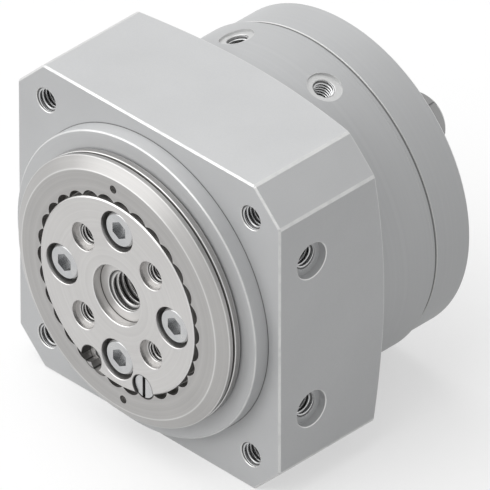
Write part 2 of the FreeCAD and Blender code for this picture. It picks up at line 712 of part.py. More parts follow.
def port_cutters():
    """Spot face, tapped hole and air duct of each port, pointing at the axis."""
    cutters = []
    floor_radius = VANE_HOUSING_RADIUS - PORT_SPOT_DEPTH
    duct_length = VANE_HOUSING_RADIUS - CHAMBER_RADIUS + EDGE
    thread = tapped_hole(M5_RADIUS, PORT_THREAD_DEPTH)
    for angle in PORT_ANGLES:
        floor = polar(floor_radius, angle, PORT_Y)
        inward = polar(-1.0, angle)
        cutters.append(Part.makeCylinder(PORT_SPOT_RADIUS, PORT_SPOT_RADIUS, floor, -inward))
        cutters.append(aimed(thread, floor, inward))
        cutters.append(Part.makeCylinder(PORT_DUCT_RADIUS, duct_length, floor, inward))
    return cutters


def vane_housing():
    """Ported housing: spigot into the block, front wall, chamber and rear neck."""
    shaft_hole = SHAFT_RADIUS + EDGE
    spigot = RETAINER_BORE_RADIUS - SEAT_PLAY
    housing = turned([
        (BUSH_RADIUS, SPIGOT_FRONT), (spigot - EDGE, SPIGOT_FRONT), (spigot, SPIGOT_FRONT + EDGE),
        (spigot, BLOCK_SEAT), (VANE_HOUSING_RADIUS, BLOCK_SEAT),
        (VANE_HOUSING_RADIUS, HOUSING_STEP - EDGE), (VANE_HOUSING_RADIUS - EDGE, HOUSING_STEP),
        (NECK_RADIUS, HOUSING_STEP), (NECK_RADIUS, PARTING_Y), (CHAMBER_RADIUS, PARTING_Y),
        (CHAMBER_RADIUS, CHAMBER_FRONT), (FRONT_SEAL_RADIUS, CHAMBER_FRONT),
        (FRONT_SEAL_RADIUS, FRONT_SEAL_FRONT), (shaft_hole, FRONT_SEAL_FRONT),
        (shaft_hole, BUSH_REAR), (BUSH_RADIUS, BUSH_REAR),
    ])
    cutters = [
        bar(M4_RADIUS + SCREW_PLAY, BLOCK_SEAT, PARTING_Y, polar(HOUSING_SCREW_CIRCLE, angle))
        for angle in DIAGONALS
    ]
    cutters += [bar(SHOE_PIN_RADIUS, SHOE_PIN_FRONT, CHAMBER_FRONT, place) for place in shoe_pin_places()]
    return housing.cut(cutters + dowel_holes() + port_cutters())


def front_shaft_bush():
    return ring(SHAFT_RADIUS + RUNNING_PLAY, BUSH_RADIUS - SEAT_PLAY, BUSH_FRONT, BUSH_REAR)


def front_shaft_seal():
    """Lip seal ring in the chamber's front wall."""
    outer = FRONT_SEAL_RADIUS - SEAT_PLAY
    lip = SHAFT_RADIUS + RUNNING_PLAY
    heel = (outer + lip) / 2
    return turned([
        (outer, FRONT_SEAL_FRONT), (outer, FRONT_SEAL_REAR), (heel, FRONT_SEAL_REAR),
        (heel, FRONT_SEAL_LIP), (lip, FRONT_SEAL_REAR), (lip, FRONT_SEAL_LIP),
        (heel - EDGE, FRONT_SEAL_FRONT),
    ])


def rear_cover():
    """Round cover with a spigot into the chamber and a seat for the shaft bearing."""
    shaft_hole = SHAFT_SEAT_RADIUS + EDGE
    spigot = CHAMBER_RADIUS - SEAT_PLAY
    bearing_seat = REAR_BEARING["outside"]
    relief = REAR_BEARING["outer_bottom"]
    relief_floor = SHAFT_BEARING_Y - EDGE
    cover = turned([
        (shaft_hole, CHAMBER_REAR), (spigot, CHAMBER_REAR), (spigot, PARTING_Y),
        (COVER_RADIUS - EDGE, PARTING_Y), (COVER_RADIUS, PARTING_Y + EDGE),
        (COVER_RADIUS, COVER_REAR - COVER_EDGE), (COVER_RADIUS - COVER_EDGE, COVER_REAR),
        (bearing_seat + EDGE, COVER_REAR),
        (bearing_seat, COVER_REAR - EDGE), (bearing_seat, SHAFT_BEARING_Y), (relief, SHAFT_BEARING_Y),
        (relief, relief_floor), (shaft_hole, relief_floor),
    ])
    groove_inner = O_RING_CIRCLE - O_RING_GROOVE_WIDTH / 2
    groove_outer = O_RING_CIRCLE + O_RING_GROOVE_WIDTH / 2
    cutters = [
        ring(shaft_hole - EDGE, REAR_SEAL_RADIUS, REAR_SEAL_FRONT, REAR_SEAL_REAR),
        ring(groove_inner, groove_outer, PARTING_Y, PARTING_Y + 2 * O_RING_SECTION),
        ring(bearing_seat - EDGE, CLIP_GROOVE_RADIUS, CLIP_FRONT, CLIP_REAR),
    ]
    for angle in DIAGONALS:
        place = polar(HOUSING_SCREW_CIRCLE, angle)
        cutters.append(bar(M4_RADIUS + SCREW_PLAY, PARTING_Y, HOUSING_SCREW_SEAT, place))
        cutters.append(counterbore(HOUSING_COUNTERBORE_RADIUS, COVER_REAR, HOUSING_SCREW_SEAT, place))
    return cover.cut(cutters)


def cover_o_ring():
    middle = FreeCAD.Vector(0, PARTING_Y + O_RING_SECTION, 0)
    return Part.makeTorus(O_RING_CIRCLE, O_RING_SECTION, middle, SWING_AXIS)


def rear_shaft_seal():
    outer = REAR_SEAL_RADIUS - SEAT_PLAY
    return ring(SHAFT_SEAT_RADIUS + RUNNING_PLAY, outer, REAR_SEAL_FRONT, REAR_SEAL_REAR)


def spring_ring(inner, outer, gap_degrees, lug_circle, lug_radius):
    """Open spring ring with a drilled lug at each side of the gap at its bottom."""
    lug_angles = (270.0 - gap_degrees, 270.0 + gap_degrees)
    eye_radius = CLIP_EYE_SHARE * lug_radius
    gap = sector(inner / 2, 2 * outer, CLIP_FRONT, CLIP_REAR, 270.0, CLIP_GAP_SHARE * gap_degrees)
    lugs = [bar(lug_radius, CLIP_FRONT, CLIP_REAR, polar(lug_circle, angle)) for angle in lug_angles]
    eyes = [bar(eye_radius, CLIP_FRONT, CLIP_REAR, polar(lug_circle, angle)) for angle in lug_angles]
    open_ring = ring(inner, outer, CLIP_FRONT, CLIP_REAR).cut(gap)
    return open_ring.fuse(lugs).removeSplitter().cut(eyes)


def bearing_circlip():
    """Inside ring that keeps the shaft bearing in the cover."""
    outer = CLIP_GROOVE_RADIUS - SEAT_PLAY
    return spring_ring(CLIP_INNER_RADIUS, outer, CLIP_GAP_DEGREES, CLIP_LUG_CIRCLE, CLIP_LUG_RADIUS)


def shaft_circlip():
    """Outside ring that keeps the shaft bearing on the shaft."""
    inner = SHAFT_CLIP_GROOVE_RADIUS + SEAT_PLAY
    return spring_ring(
        inner, SHAFT_CLIP_RADIUS, SHAFT_CLIP_GAP_DEGREES, SHAFT_CLIP_RADIUS, SHAFT_CLIP_LUG_RADIUS,
    )


def housing_screws():
    shank = M4_RADIUS - SEAT_PLAY
    screw = socket_screw(shank, HOUSING_SCREW_LENGTH, M4_HEAD_RADIUS, M4_HEAD_HEIGHT, M4_HEX)
    screws = [
        aimed(screw, polar(HOUSING_SCREW_CIRCLE, angle, HOUSING_SCREW_SEAT), -SWING_AXIS)
        for angle in DIAGONALS
    ]
    return Part.makeCompound(screws)


def all_parts():
    """Every piece by name."""
    front_inner, front_outer = bearing_rings(MAIN_BEARING, FRONT_BEARING_Y)
    rear_inner, rear_outer = bearing_rings(MAIN_BEARING, REAR_BEARING_Y)
    shaft_inner, shaft_outer = bearing_rings(REAR_BEARING, SHAFT_BEARING_Y)
    return {
        "bearing_housing": bearing_housing(),
        "vane_housing": vane_housing(),
        "rear_cover": rear_cover(),
        "housing_screws": housing_screws(),
        "locating_dowels": locating_dowels(),
        "wiper_seal": wiper_seal(),
        "front_bearing_outer_ring": front_outer,
        "rear_bearing_outer_ring": rear_outer,
        "outer_spacer": outer_spacer(),
        "bearing_retainer": bearing_retainer(),
        "stator_shoe": stator_shoe(),
        "shoe_seal": shoe_seal(),
        "shoe_pins": shoe_pins(),
        "cushion_pads": cushion_pads(),
        "cover_o_ring": cover_o_ring(),
        "front_shaft_bush": front_shaft_bush(),
        "front_shaft_seal": front_shaft_seal(),
        "rear_shaft_seal": rear_shaft_seal(),
        "shaft_bearing_outer_ring": shaft_outer,
        "bearing_circlip": bearing_circlip(),
        "output_flange": output_flange(),
        "ring_nut": ring_nut(),
        "labyrinth_ring": labyrinth_ring(),
        "lock_screw": lock_screw(),
        "flange_screws": flange_screws(),
        "front_bearing_inner_ring": front_inner,
        "rear_bearing_inner_ring": rear_inner,
        "inner_spacer": inner_spacer(),
        "drive_dowels": drive_dowels(),
        "vane_shaft": vane_shaft(),
        "vane": vane(),
        "vane_seal": vane_seal(),
        "vane_key": vane_key(),
        "shaft_bearing_inner_ring": shaft_inner,
        "shaft_circlip": shaft_circlip(),
        "front_bearing_balls": bearing_balls(MAIN_BEARING, FRONT_BEARING_Y),
        "front_bearing_cage": bearing_cage(MAIN_BEARING, FRONT_BEARING_Y),
        "rear_bearing_balls": bearing_balls(MAIN_BEARING, REAR_BEARING_Y),
        "rear_bearing_cage": bearing_cage(MAIN_BEARING, REAR_BEARING_Y),
        "shaft_bearing_balls": bearing_balls(REAR_BEARING, SHAFT_BEARING_Y),
        "shaft_bearing_cage": bearing_cage(REAR_BEARING, SHAFT_BEARING_Y),
    }


os.makedirs("parts", exist_ok=True)
for name, shape in all_parts().items():
    shape.exportStep("parts/" + name + ".step")
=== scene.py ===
import json
import math

import bpy
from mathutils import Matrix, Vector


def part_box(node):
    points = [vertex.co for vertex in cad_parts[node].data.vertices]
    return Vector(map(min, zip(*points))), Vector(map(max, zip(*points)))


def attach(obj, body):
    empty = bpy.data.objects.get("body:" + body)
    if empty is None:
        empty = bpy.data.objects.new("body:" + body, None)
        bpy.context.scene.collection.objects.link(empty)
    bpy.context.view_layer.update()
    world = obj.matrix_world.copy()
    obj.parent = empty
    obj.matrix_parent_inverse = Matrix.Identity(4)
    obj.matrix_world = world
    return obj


# Looks of the semi-rotary vane actuator: cut threads, finishes, studio light and camera.
# Metres, in the solids' own frame: the swing axis is Y, the output flange faces -Y, +Z is up.

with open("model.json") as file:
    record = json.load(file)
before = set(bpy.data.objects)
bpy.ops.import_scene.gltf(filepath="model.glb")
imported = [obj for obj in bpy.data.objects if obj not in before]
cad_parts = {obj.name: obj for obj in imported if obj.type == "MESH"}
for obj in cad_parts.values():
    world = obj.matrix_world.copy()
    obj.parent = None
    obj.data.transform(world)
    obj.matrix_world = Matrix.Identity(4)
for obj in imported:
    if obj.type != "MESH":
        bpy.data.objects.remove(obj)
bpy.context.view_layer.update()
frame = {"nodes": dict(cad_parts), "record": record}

MM = 0.001
MICROMETRE = 1e-6
QUARTER_TURN = math.pi / 2
BOTH_SIDES = (-1, 1)

# Camera: an isometric view down on the flange, from far away through a long lens
CAMERA_AZIMUTH = math.radians(45.0)
CAMERA_ELEVATION = math.atan(1 / math.sqrt(2))
LENS_MM = 1550.0
SENSOR_MM = 36.0
VIEW_WIDTH = 108.375 * MM
AIM_RIGHT = 21.375 * MM
AIM_UP = 7.18 * MM
CLIP_RATIO = 10

# Studio: a pale floor, soft light all round and one broad key light
FLOOR_REACH = 12.0
FLOOR_SEEN = (0.47, 0.47, 0.47, 1.0)
FLOOR_GLOW = (0.52, 0.52, 0.52, 1.0)
FLOOR_BOUNCE = (0.50, 0.50, 0.50, 1.0)
AMBIENT = 0.42
KEY_STRENGTH = 2.4
KEY_ANGLE = math.radians(95.0)
KEY_TURN = (math.radians(38.0), 0.0, math.radians(-50.0))
WHITE = (1.0, 1.0, 1.0, 1.0)
BLACK = (0.0, 0.0, 0.0, 1.0)

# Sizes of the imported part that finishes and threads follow, in millimetres
MOUNTS = {mount["name"]: mount for mount in frame["record"]["mounts"]}
EDGE = 0.3
FINE_EDGE = 0.15

# Block, with its pilot boss and its front and side holes
BLOCK_LOW, BLOCK_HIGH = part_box("bearing_housing")
BLOCK_HALF = BLOCK_HIGH[0] / MM
BLOCK_SEAT = BLOCK_HIGH[1] / MM
CORNER_BEVEL = 8.0
CORNER_SUM = 2 * BLOCK_HALF - CORNER_BEVEL
BLOCK_EDGE = 0.4
LONG_EDGE = BLOCK_EDGE / math.sqrt(2)
REAR_CONE_SLOPE = math.tan(math.radians(15.0))
BOSS_RADIUS = MOUNTS["pilot_boss"]["dims"]["r_mm"]
BOSS_FACE = BLOCK_LOW[1] / MM
BOSS_EDGE = 0.35
LIP_RADIUS = 28.7
FRONT_HOLE = MOUNTS["front_bolts"]["dims"]["spacing_x_mm"] / 2
SIDE_HOLE_Y = MOUNTS["side_bolts_right"]["pos_m"][1] / MM
SIDE_HOLE_Z = MOUNTS["side_bolts_right"]["dims"]["spacing_y_mm"] / 2
SIDE_RECESS_RADIUS = 4.5

# Vane housing with its air ports, and rear cover
HOUSING_RADIUS = 40.3
HOUSING_STEP = 49.1
NECK_RADIUS = 39.4
PARTING_Y = 50.8
PARTING_WIDTH = 0.25
COVER_RADIUS = 39.5
COVER_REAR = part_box("rear_cover")[1][1] / MM
COVER_EDGE = 0.65
PORT_AXIS_X = MOUNTS["air_port_right"]["axis"][0]
PORT_AXIS_Z = MOUNTS["air_port_right"]["axis"][2]
PORT_Y = MOUNTS["air_port_right"]["pos_m"][1] / MM
PORT_FLOOR_RADIUS = 39.65
PORT_SPOT_RADIUS = 4.1

# Output flange, ring nut and labyrinth ring
HUB_RADIUS = 24.1
FLANGE_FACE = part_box("output_flange")[0][1] / MM
CENTRING_RADIUS = MOUNTS["output_centring"]["dims"]["r_mm"]
CENTRING_DEPTH = 2.45
CENTRING_FLOOR = FLANGE_FACE + CENTRING_DEPTH
FLANGE_CIRCLE = MOUNTS["output_threads"]["dims"]["pcd_mm"] / 2
FLANGE_DEGREES = (45.0, 135.0, 225.0, 315.0)
NUT_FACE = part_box("ring_nut")[0][1] / MM
NUT_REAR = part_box("ring_nut")[1][1] / MM
NUT_RADIUS = 33.2
NUT_BEVEL_RADIUS = 30.4
NUT_BEVEL_END = -7.65
NUT_GROOVE_RADIUS = 32.5
NUT_GROOVE_START = -6.55
LABYRINTH_REAR = -4.5

# Lock holes that flange and nut share: the slotted screw is in one, the other is empty
LOCK_CIRCLE = 22.35
LOCK_HOLE_RADIUS = 3.07
LOCK_FLOOR = -7.25
LOCK_SCREW_DEGREES = -69.0
LOCK_SCREW_X = LOCK_CIRCLE * math.cos(math.radians(LOCK_SCREW_DEGREES))
LOCK_SCREW_Z = LOCK_CIRCLE * math.sin(math.radians(LOCK_SCREW_DEGREES))
LOCK_EMPTY_DEGREES = -111.0
LOCK_SLOT_WIDTH = 0.9

# Threads in millimetres: outer radius and pitch, and the depths at which each set starts and ends
M3_THREAD = {"radius": 1.5, "pitch": 0.5}
M5_THREAD = {"radius": 2.5, "pitch": 0.8}
M6_THREAD = {"radius": 3.0, "pitch": 1.0}
M10_THREAD = {"radius": 5.0, "pitch": 1.5}
FRONT_DEPTHS = (0.2, 11.8)
SIDE_DEPTHS = (2.2, 10.3)
PORT_DEPTHS = (0.2, 5.8)
FLANGE_DEPTHS = (1.8, 11.8)
CENTRE_DEPTHS = (2.7, 12.7)
LOCK_DEPTHS = (0.3, 5.6)
INTO_FRONT = (0.0, 1.0, 0.0)

# Thread form as shares of the pitch, its run-out at both ends, and the steps in one turn
RIDGE_FOOT = 0.875
RIDGE_CREST = 0.25
RIDGE_HEIGHT = 0.541
RIDGE_SINK = 0.04
RUN_OUT_TURNS = 0.6
RUN_OUT_END = 0.08
STEPS_PER_TURN = 56
SHARP_ANGLE = math.radians(25.0)

# Circles round the swing axis, as radius and station: worn edges painted lighter as a painted highlight, and
# corners darkened with oil and painted shade
HOUSING_JOINT = (HOUSING_RADIUS, BLOCK_SEAT)
BLOCK_RINGS = (
    (BOSS_RADIUS - BOSS_EDGE / 2, BOSS_FACE + BOSS_EDGE / 2),
    (LIP_RADIUS, BOSS_FACE),
)
BLOCK_CORNERS = ((BOSS_RADIUS, 0.0), HOUSING_JOINT)
ROUND_EDGES = (
    (HOUSING_RADIUS - EDGE / 2, HOUSING_STEP - EDGE / 2),
    (COVER_RADIUS - EDGE / 2, PARTING_Y + EDGE / 2),
    (COVER_RADIUS - COVER_EDGE / 2, COVER_REAR - COVER_EDGE / 2),
)
ROUND_CORNERS = (
    HOUSING_JOINT,
    (NECK_RADIUS, HOUSING_STEP),
    (NECK_RADIUS, PARTING_Y - PARTING_WIDTH),
    (NECK_RADIUS, PARTING_Y),
)
FLANGE_EDGES = (
    (HUB_RADIUS - EDGE / 2, FLANGE_FACE + EDGE / 2),
    (CENTRING_RADIUS + FINE_EDGE / 2, FLANGE_FACE + FINE_EDGE / 2),
    (M10_THREAD["radius"] + FINE_EDGE / 2, CENTRING_FLOOR + FINE_EDGE / 2),
)
FLANGE_CORNERS = ((CENTRING_RADIUS, CENTRING_FLOOR),)
NUT_EDGES = (
    (NUT_BEVEL_RADIUS, NUT_FACE),
    (NUT_RADIUS, NUT_BEVEL_END),
    (NUT_RADIUS - FINE_EDGE / 2, NUT_GROOVE_START - FINE_EDGE / 2),
    (NUT_RADIUS - FINE_EDGE / 2, NUT_REAR + FINE_EDGE / 2),
    (NUT_RADIUS, LABYRINTH_REAR),
)
NUT_CORNERS = ((NUT_GROOVE_RADIUS, NUT_GROOVE_START), (NUT_GROOVE_RADIUS, NUT_REAR))

# Wear with painted highlights, oil with painted shade, and fresh cuts: how far each reaches and fades, in
# millimetres, and their colours
RUBBED_HIGHLIGHT_WIDTH = 0.32
OIL_AND_SHADE_WIDTH = 0.28
EDGE_FADE = 0.12
BOSS_FADE = 0.1
CONE_SKIN = 0.04
CONE_FADE = 0.08
MOUTH_WIDTH = 0.1
MOUTH_FADE = 0.16
FRONT_MOUTH_DEPTH = 0.3
SIDE_MOUTH_DEPTH = 0.2
DEPTH_FADE = 0.2
SPOT_FADE = 0.1
SPOT_INNER = 30.0
SPOT_OUTER = 32.0
LOCK_RIM_WIDTH = 0.06
LOCK_RIM_FADE = 0.19
SLOT_PLAY = 0.02
SLOT_FADE = 0.06
SLOT_SHADE_START_DEPTH = 0.02
SLOT_SHADE_FULL_DEPTH = 0.3
# Dark colour of oil and of painted shade in corners, hole rims and the screw slot
OIL_AND_SHADE = (0.035, 0.034, 0.032, 1.0)
# Colour of bare metal, both where it is really cut and where worn edges are painted lighter as a highlight
BARE_AND_HIGHLIGHT = (0.70, 0.70, 0.69, 1.0)


class Field:
    """A socket of a node tree. Operators on values add Math nodes."""

    def __init__(self, graph, socket):
        self.graph = graph
        self.socket = socket

    def other(self, name):
        """Another output of the same node."""
        return Field(self.graph, self.socket.node.outputs[name])

    def __add__(self, value):
        return self.graph.maths("ADD", self, value)

    def __radd__(self, value):
        return self.graph.maths("ADD", value, self)

    def __sub__(self, value):
        return self.graph.maths("SUBTRACT", self, value)

    def __rsub__(self, value):
        return self.graph.maths("SUBTRACT", value, self)

    def __mul__(self, value):
        return self.graph.maths("MULTIPLY", self, value)

    def __rmul__(self, value):
        return self.graph.maths("MULTIPLY", value, self)

    def __truediv__(self, value):
        return self.graph.maths("DIVIDE", self, value)

    def __rtruediv__(self, value):
        return self.graph.maths("DIVIDE", value, self)

    def __pow__(self, value):
        return self.graph.maths("POWER", self, value)

    def __abs__(self):
        return self.graph.maths("ABSOLUTE", self)


class Graph:
    """A node tree written as Python expressions."""

    def __init__(self, tree):
        self.tree = tree
        tree.nodes.clear()

    def node(self, kind, settings=None, sockets=None, output=0):
        """Adds a node: its settings first, then the values or links of its sockets."""
        made = self.tree.nodes.new(kind)
        for name, value in (settings or {}).items():
            setattr(made, name, value)
        for name, value in (sockets or {}).items():
            if isinstance(value, Field):
                self.tree.links.new(value.socket, made.inputs[name])
            else:
                made.inputs[name].default_value = value
        return Field(self, made.outputs[output]) if made.outputs else None

    def maths(self, operation, *values):
        return self.node("ShaderNodeMath", {"operation": operation}, dict(enumerate(values)))

    def larger(self, *values):
        result = values[0]
        for value in values[1:]:
            result = self.maths("MAXIMUM", result, value)
        return result

    def smaller(self, *values):
        result = values[0]
        for value in values[1:]:
            result = self.maths("MINIMUM", result, value)
        return result

    def ramp(self, value, start, end):
        """Smooth step: 0 at start, 1 at end."""
        return self.node(
            "ShaderNodeMapRange", {"interpolation_type": "SMOOTHSTEP"},
            {"Value": value, "From Min": start, "From Max": end},
        )

    def mix_colours(self, share, first, second):
        return self.node(
            "ShaderNodeMix", {"data_type": "RGBA"}, {0: share, 6: first, 7: second}, output=2,
        )

    def millimetres(self):
        """The piece's own coordinates in millimetres."""
        place = self.node("ShaderNodeTexCoord", output="Object")
        return self.node(
            "ShaderNodeVectorMath", {"operation": "SCALE"}, {0: place, "Scale": 1 / MM},
        )

    def part(self, place, axis):
        """X, Y or Z of a vector."""
        return self.node("ShaderNodeSeparateXYZ", None, {"Vector": place}, output=axis)

    def parts(self, place):
        """X, Y and Z of a vector."""
        x = self.part(place, "X")
        return x, x.other("Y"), x.other("Z")

    def stretched(self, place, scale):
        return self.node("ShaderNodeVectorMath", {"operation": "MULTIPLY"}, {0: place, 1: scale})

    def noise(self, place, per_mm, detail=2.0):
        return self.node(
            "ShaderNodeTexNoise", {"noise_dimensions": "3D"},
            {"Vector": place, "Scale": per_mm, "Detail": detail},
        )

    def bands(self, distance, per_mm, detail=2.0):
        """Noise along one line only, for tool marks."""
        return self.node(
            "ShaderNodeTexNoise", {"noise_dimensions": "1D"},
            {"W": distance, "Scale": per_mm, "Detail": detail},
        )

    def bump(self, height, micrometres):
        return self.node(
            "ShaderNodeBump", None,
            {"Strength": 1.0, "Distance": micrometres * MICROMETRE, "Height": height},
        )

    def surface(self, **sockets):
        """Ends a material in one shader; a socket's underscores stand for spaces."""
        named = {name.replace("_", " "): value for name, value in sockets.items()}
        shader = self.node("ShaderNodeBsdfPrincipled", None, named)
        self.node("ShaderNodeOutputMaterial", None, {"Surface": shader})


def polar(radius, degrees, y):
    angle = math.radians(degrees)
    return (radius * math.cos(angle), y, radius * math.sin(angle))


def diagonal(first, second):
    """Length across two distances that are at right angles."""
    return (first * first + second * second) ** 0.5


def new_material(name):
    material = bpy.data.materials.new(name)
    material.use_nodes = True
    return material, Graph(material.node_tree)


def grey(level, warmth=0.0):
    return (level + warmth, level, level - warmth, 1.0)


# Masks that follow the part's shape

def swing_radius(graph, place):
    """Distance from the swing axis."""
    return diagonal(graph.part(place, "X"), graph.part(place, "Z"))


def ring_lines(graph, place, circles, width):
    """1 along circles round the swing axis, fading out over a width."""
    radius = swing_radius(graph, place)
    y = graph.part(place, "Y")
    distances = [diagonal(radius - circle_radius, y - station) for circle_radius, station in circles]
    return graph.ramp(graph.smaller(*distances), width, 0.0)


def depth_in_cone(graph, place):
    """Distance ahead of the block's coned rear face, along the swing axis."""
    rise = REAR_CONE_SLOPE * (swing_radius(graph, place) - HOUSING_RADIUS)
    return BLOCK_SEAT - rise - graph.part(place, "Y")


def block_edge_wear_and_highlight(graph, place):
    """1 on the bevels of the block's front and long edges and along its sharp rear edges, where wear is
    painted lighter as a highlight line.
    """
    x, y, z = graph.parts(place)
    from_side = BLOCK_HALF - abs(x)
    from_top = BLOCK_HALF - abs(z)
    from_corner = (CORNER_SUM - abs(x) - abs(z)) / math.sqrt(2)
    from_wall = graph.smaller(from_side, from_top, from_corner)
    front_edge = from_wall + graph.larger(y, 0.0)
    rear_edge = from_wall + depth_in_cone(graph, place)
    long_edge = from_corner + graph.smaller(from_side, from_top)
    return graph.larger(
        graph.ramp(front_edge, BLOCK_EDGE + EDGE_FADE, BLOCK_EDGE),
        graph.ramp(long_edge, LONG_EDGE + EDGE_FADE, LONG_EDGE),
        graph.ramp(rear_edge, 2 * EDGE_FADE, 0.0),
    )


def hole_mouth(graph, distance, radius, depth, mouth_depth):
    """1 on the bevelled mouth of a hole, from the distance to its axis and the depth below its face."""
    near = graph.ramp(abs(distance - radius), MOUTH_WIDTH + MOUTH_FADE, MOUTH_WIDTH)
    return near * graph.ramp(depth, mouth_depth + DEPTH_FADE, mouth_depth)


def block_mouths(graph, place):
    """1 on the mouths of the block's front and side holes, which are cut after anodising."""
    x, y, z = graph.parts(place)
    front = diagonal(abs(x) - FRONT_HOLE, abs(z) - FRONT_HOLE)
    side = diagonal(y - SIDE_HOLE_Y, abs(z) - SIDE_HOLE_Z)
    return graph.larger(
        hole_mouth(graph, front, M6_THREAD["radius"], y, FRONT_MOUTH_DEPTH),
        hole_mouth(graph, side, SIDE_RECESS_RADIUS, BLOCK_HALF - abs(x), SIDE_MOUTH_DEPTH),
    )


def block_turned_faces(graph, place):
    """1 on the pilot boss and the coned rear face, which are turned."""
    boss = graph.ramp(graph.part(place, "Y"), 0.0, -BOSS_FADE)
    cone = graph.ramp(depth_in_cone(graph, place), CONE_SKIN + CONE_FADE, CONE_SKIN)
    return graph.larger(boss, cone)


def port_spots(graph, place):
    """1 on the spot faces of the two air ports, which are cut after anodising."""
    x, y, z = graph.parts(place)
    distance = diagonal(abs(x) * PORT_AXIS_Z - z * PORT_AXIS_X, y - PORT_Y)
    outward = abs(x) * PORT_AXIS_X + z * PORT_AXIS_Z
    spot = graph.ramp(distance, PORT_SPOT_RADIUS + SPOT_FADE, PORT_SPOT_RADIUS)
    return spot * graph.ramp(outward, SPOT_INNER, SPOT_OUTER)


def lock_rim_oil_and_shade(graph, place):
    """1 on the walls of the two lock holes, which are darkened as oily and as painted shade."""
    across = abs(graph.part(place, "X")) - LOCK_SCREW_X
    distance = diagonal(across, graph.part(place, "Z") - LOCK_SCREW_Z)
    return graph.ramp(abs(distance - LOCK_HOLE_RADIUS), LOCK_RIM_WIDTH + LOCK_RIM_FADE, LOCK_RIM_WIDTH)


def lock_slot_dirt_and_shade(graph, place):
    """1 down in the lock screw's slot, which is darkened as dirty and as painted shade."""
    from_middle = abs(graph.part(place, "X") - LOCK_SCREW_X)
    reach = LOCK_SLOT_WIDTH / 2 + SLOT_PLAY
    between = graph.ramp(from_middle, reach + SLOT_FADE, reach)
    depth = graph.part(place, "Y") - NUT_FACE
    return between * graph.ramp(depth, SLOT_SHADE_START_DEPTH, SLOT_SHADE_FULL_DEPTH)


def lathe_marks(graph, place):
    """Fine and coarse tool marks along a turned profile."""
    profile = swing_radius(graph, place) + graph.part(place, "Y")
    return graph.bands(profile, per_mm=5.0), graph.bands(profile, per_mm=0.9)


# Finishes

def anodised_block():
    """Clear anodised aluminium: blasted flat faces, turned boss and rear, bared where cut, worn edges with a
    painted highlight, and inner corners with oily painted shade.
    """
    material, graph = new_material("anodised_block")
    place = graph.millimetres()
    cloud = graph.noise(place, per_mm=0.06, detail=3.0)
    grain = graph.noise(place, per_mm=4.5, detail=3.0)
    patches = graph.ramp(graph.noise(place, per_mm=0.5), 0.2, 0.6)
    fine, coarse = lathe_marks(graph, place)
    turned = block_turned_faces(graph, place)
    marks = (1 - turned) * grain + turned * (0.5 * fine + 0.5 * coarse)
    rings = ring_lines(graph, place, BLOCK_RINGS, RUBBED_HIGHLIGHT_WIDTH)
    # Worn edges and boss rings painted lighter: wear and a painted highlight line
    rubbed_and_highlight = graph.larger(block_edge_wear_and_highlight(graph, place), rings) * (0.35 + 0.40 * patches)
    bare_and_highlight = graph.larger(rubbed_and_highlight, block_mouths(graph, place))
    # Inner corners painted dark: oil and painted shade
    oil_and_shade = ring_lines(graph, place, BLOCK_CORNERS, OIL_AND_SHADE_WIDTH)
    body = graph.mix_colours(0.5 * cloud + 0.5 * marks, grey(0.50, -0.006), grey(0.64, -0.004))
    clean = graph.mix_colours(bare_and_highlight, body, BARE_AND_HIGHLIGHT)
    graph.surface(
        Base_Color=graph.mix_colours(0.7 * oil_and_shade, clean, OIL_AND_SHADE),
        Metallic=0.22 + 0.58 * bare_and_highlight,
        Roughness=0.44 + 0.10 * cloud + 0.08 * marks - 0.06 * turned - 0.18 * bare_and_highlight,
        Specular_IOR_Level=0.3,
        Normal=graph.bump(marks * (1 - 0.7 * turned), micrometres=9.0),
    )
    return material


def turned_metal(name, tones, metallic, rough, depth, edges, corners, fresh_cuts=None, rim_oil_and_shade=None):
    """Turned finish: fine rings round the swing axis, worn edges with a painted highlight, oily corners and
    rims with painted shade, and fresh cuts.
    """
    material, graph = new_material(name)
    place = graph.millimetres()
    fine, coarse = lathe_marks(graph, place)
    cloud = graph.noise(place, per_mm=0.08, detail=3.0)
    tone = 0.30 * cloud + 0.45 * coarse + 0.25 * fine
    # Worn edges painted lighter: wear and a painted highlight line
    bare_and_highlight = ring_lines(graph, place, edges, RUBBED_HIGHLIGHT_WIDTH) * (0.45 + 0.55 * cloud)
    if fresh_cuts:
        bare_and_highlight = graph.larger(bare_and_highlight, 0.5 * fresh_cuts(graph, place))
    # Inner corners and hole rims painted dark: oil and painted shade
    oil_and_shade = ring_lines(graph, place, corners, OIL_AND_SHADE_WIDTH)
    if rim_oil_and_shade:
        oil_and_shade = graph.larger(oil_and_shade, rim_oil_and_shade(graph, place))
    clean = graph.mix_colours(bare_and_highlight, graph.mix_colours(tone, *tones), BARE_AND_HIGHLIGHT)
    graph.surface(
        Base_Color=graph.mix_colours(0.85 * oil_and_shade, clean, OIL_AND_SHADE),
        Metallic=metallic + (0.95 - metallic) * bare_and_highlight,
        Roughness=rough + 0.10 * coarse + 0.08 * cloud + 0.15 * oil_and_shade,
        Normal=graph.bump(0.6 * fine + coarse, micrometres=depth),
    )
    return material


def zinc_screws():
    """Bright zinc plate with faint cloudy patches, and the lock screw's slot darkened as dirty and as
    painted shade.
    """
    material, graph = new_material("zinc_screws")
    place = graph.millimetres()
    cloud = graph.noise(place, per_mm=0.5, detail=3.0)
    speck = graph.noise(place, per_mm=5.0)
    # Slot painted dark: dirt and painted shade
    slot_dirt_and_shade = lock_slot_dirt_and_shade(graph, place)
    plate = graph.mix_colours(cloud, grey(0.46, -0.012), grey(0.60, 0.004))
    graph.surface(
        Base_Color=graph.mix_colours(0.9 * slot_dirt_and_shade, plate, OIL_AND_SHADE),
        Metallic=1.0 - 0.6 * slot_dirt_and_shade,
        Roughness=0.18 + 0.14 * cloud + 0.40 * slot_dirt_and_shade,
        Normal=graph.bump(speck, micrometres=1.2),
    )
    return material


